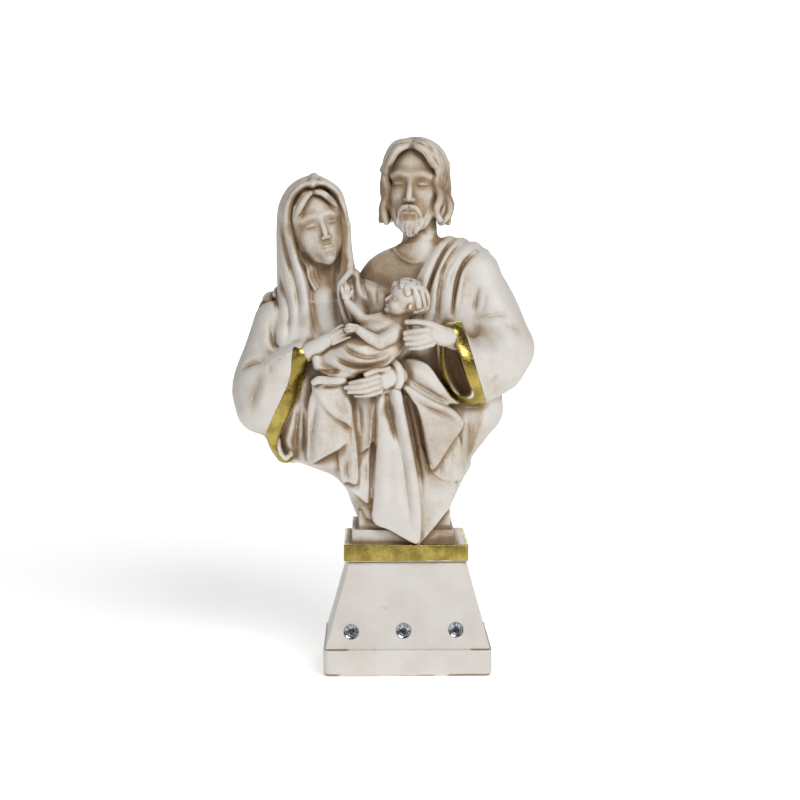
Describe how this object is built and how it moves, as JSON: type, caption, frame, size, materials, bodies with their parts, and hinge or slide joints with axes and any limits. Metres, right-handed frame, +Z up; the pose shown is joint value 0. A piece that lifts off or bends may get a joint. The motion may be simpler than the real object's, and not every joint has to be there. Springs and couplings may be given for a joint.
{
  "type": "holy family statue",
  "caption": "Small cast bust group of a mother, a father and their child on a flared plinth set with clear stones.",
  "frame": {"origin": "middle of the plinth's underside, which the statue stands on", "axes": "+Z up through the group, -Y the front that the faces look towards, +X to the viewer's right"},
  "size_m": [0.1138, 0.0517, 0.2002],
  "materials": {
    "resin": "matte cream resin with a brown wash left in the recesses",
    "gold_paint": "olive-gold metallic paint, satin",
    "crystal": "clear cut stone with a silver foil back"
  },
  "bodies": {
    "root": {"figure_group": "resin", "plinth": "resin", "rhinestone_left": "crystal", "rhinestone_middle": "crystal", "rhinestone_right": "crystal"}
  },
  "joints": []
}
